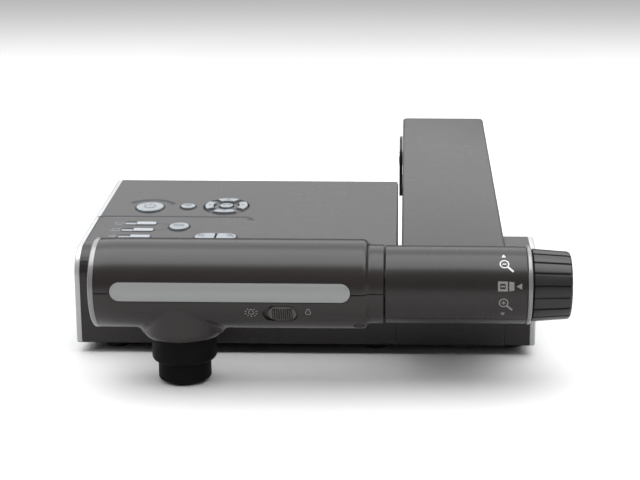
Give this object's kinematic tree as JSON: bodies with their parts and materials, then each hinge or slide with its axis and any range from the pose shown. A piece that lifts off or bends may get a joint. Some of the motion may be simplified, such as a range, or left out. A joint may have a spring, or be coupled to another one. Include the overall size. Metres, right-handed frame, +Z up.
{
  "type": "document camera",
  "caption": "Folding desktop document camera with a wedge-shaped keypad base, a Z-folding arm and a tilting tubular camera head with a zoom knob.",
  "frame": {"origin": "centre of the folded object's box on the resting surface", "axes": "+X to the right as the presenter sees it, +Y from the camera head to the rear, +Z up"},
  "size_m": [0.2938, 0.355, 0.1048],
  "materials": {
    "body_plastic": "fine satin texture, dark warm grey",
    "underside_plastic": "plain moulded, dark grey",
    "silver_trim": "satin silver paint",
    "label_aluminium": "fine brushed",
    "keys": "smooth light blue-grey",
    "indicator": "translucent light pipes",
    "rubber": "matte black",
    "knob_plastic": "soft-touch dark grey with grooves",
    "lens_black": "matte black",
    "lens_glass": "coated lens glass",
    "clear_window": "frosted lamp window",
    "steel": "plain zinc-plated steel",
    "cast_aluminium": "die-cast, unpainted",
    "acetal": "natural white bushing plastic",
    "circuit_board": "solder-mask green"
  },
  "bodies": {
    "base": {"base_top_cover": "body_plastic", "base_bottom_cover": "underside_plastic", "left_trim": "silver_trim", "right_trim": "silver_trim", "ear_cover": "body_plastic", "hinge_front_cover": "body_plastic", "ballast_plate": "steel", "main_board": "circuit_board", "keypad_board": "circuit_board", "rubber_feet": "rubber", "base_screws": "steel", "dc_inlet": "lens_black", "video_socket": "steel", "usb_socket": "steel", "indicator_lights": "indicator", "shoulder_bracket_left": "steel", "shoulder_bracket_right": "steel", "shoulder_shaft": "steel", "shoulder_spacer": "lens_black"},
    "power_button": {"power_button": "keys"},
    "menu_button": {"menu_button": "keys"},
    "source_button": {"source_button": "keys"},
    "dpad_up": {"dpad_up": "keys"},
    "dpad_down": {"dpad_down": "keys"},
    "dpad_left": {"dpad_left": "keys"},
    "dpad_right": {"dpad_right": "keys"},
    "dpad_center": {"dpad_center": "keys"},
    "pill_button_left": {"pill_button_left": "keys"},
    "pill_button_right": {"pill_button_right": "keys"},
    "lower_arm": {"lower_arm_frame": "cast_aluminium", "lower_arm_top_cover": "body_plastic", "lower_arm_bottom_cover": "body_plastic", "elbow_shaft": "steel", "elbow_cap": "body_plastic"},
    "upper_arm": {"upper_arm_frame": "cast_aluminium", "upper_arm_top_cover": "body_plastic", "upper_arm_bottom_cover": "body_plastic", "barrel_cover": "body_plastic", "barrel_bottom_strip": "body_plastic", "barrel_ring": "silver_trim", "tilt_shaft": "steel", "zoom_encoder": "circuit_board"},
    "zoom_spindle": {"zoom_shaft": "steel"},
    "zoom_knob": {"zoom_knob": "knob_plastic"},
    "head": {"head_upper_shell": "body_plastic", "head_lower_shell": "body_plastic", "end_ring": "silver_trim", "end_cap": "body_plastic", "label_plate": "label_aluminium", "tilt_bushes": "acetal", "lens_hood_upper": "lens_black", "lens_hood_lower": "lens_black", "front_glass": "lens_glass", "lens_module": "lens_black", "sensor_board": "circuit_board", "lamp_board": "circuit_board", "lamp_window": "clear_window", "head_screws": "steel"},
    "lamp_switch": {"lamp_switch": "body_plastic"}
  },
  "joints": [
    {"name": "shoulder", "type": "hinge", "parent": "base", "child": "lower_arm", "pos_m": [0.0816, -0.08124, 0.03221], "axis": [1, 0, 0], "range_deg": [0, 60]},
    {"name": "elbow", "type": "hinge", "parent": "lower_arm", "child": "upper_arm", "pos_m": [0.0816, 0.14934, 0.0767], "axis": [-1, 0, 0], "range_deg": [0, 90]},
    {"name": "head_tilt", "type": "hinge", "parent": "upper_arm", "child": "head", "pos_m": [0.0421, -0.15196, 0.0578], "axis": [-1, 0, 0], "range_deg": [-30, 90]},
    {"name": "zoom_turn", "type": "hinge", "parent": "upper_arm", "child": "zoom_spindle", "pos_m": [0.1231, -0.15196, 0.0578], "axis": [1, 0, 0], "range_deg": [-25, 25], "stiffness_Nm_per_rad": 0.06},
    {"name": "focus_press", "type": "slide", "parent": "zoom_spindle", "child": "zoom_knob", "axis": [-1, 0, 0], "range_m": [0, 0.0018], "stiffness_N_per_m": 900, "springref_m": -0.001},
    {"name": "lamp_slide", "type": "slide", "parent": "head", "child": "lamp_switch", "axis": [-1, 0, 0], "range_m": [0, 0.0025]},
    {"name": "power_button_press", "type": "slide", "parent": "base", "child": "power_button", "axis": [0, 0.1288, -0.9917], "range_m": [0, 0.0012], "stiffness_N_per_m": 500, "springref_m": -0.001},
    {"name": "menu_button_press", "type": "slide", "parent": "base", "child": "menu_button", "axis": [0, 0.1288, -0.9917], "range_m": [0, 0.0012], "stiffness_N_per_m": 500, "springref_m": -0.001},
    {"name": "source_button_press", "type": "slide", "parent": "base", "child": "source_button", "axis": [0, 0.1288, -0.9917], "range_m": [0, 0.0012], "stiffness_N_per_m": 500, "springref_m": -0.001},
    {"name": "dpad_up_press", "type": "slide", "parent": "base", "child": "dpad_up", "axis": [0, 0.1288, -0.9917], "range_m": [0, 0.0012], "stiffness_N_per_m": 500, "springref_m": -0.001},
    {"name": "dpad_down_press", "type": "slide", "parent": "base", "child": "dpad_down", "axis": [0, 0.1288, -0.9917], "range_m": [0, 0.0012], "stiffness_N_per_m": 500, "springref_m": -0.001},
    {"name": "dpad_left_press", "type": "slide", "parent": "base", "child": "dpad_left", "axis": [0, 0.1288, -0.9917], "range_m": [0, 0.0012], "stiffness_N_per_m": 500, "springref_m": -0.001},
    {"name": "dpad_right_press", "type": "slide", "parent": "base", "child": "dpad_right", "axis": [0, 0.1288, -0.9917], "range_m": [0, 0.0012], "stiffness_N_per_m": 500, "springref_m": -0.001},
    {"name": "dpad_center_press", "type": "slide", "parent": "base", "child": "dpad_center", "axis": [0, 0.1288, -0.9917], "range_m": [0, 0.0012], "stiffness_N_per_m": 500, "springref_m": -0.001},
    {"name": "pill_button_left_press", "type": "slide", "parent": "base", "child": "pill_button_left", "axis": [0, 0.1288, -0.9917], "range_m": [0, 0.0012], "stiffness_N_per_m": 500, "springref_m": -0.001},
    {"name": "pill_button_right_press", "type": "slide", "parent": "base", "child": "pill_button_right", "axis": [0, 0.1288, -0.9917], "range_m": [0, 0.0012], "stiffness_N_per_m": 500, "springref_m": -0.001}
  ],
  "couplings": [
    {"joint": "elbow", "follows": "shoulder", "ratio": 1.5}
  ]
}
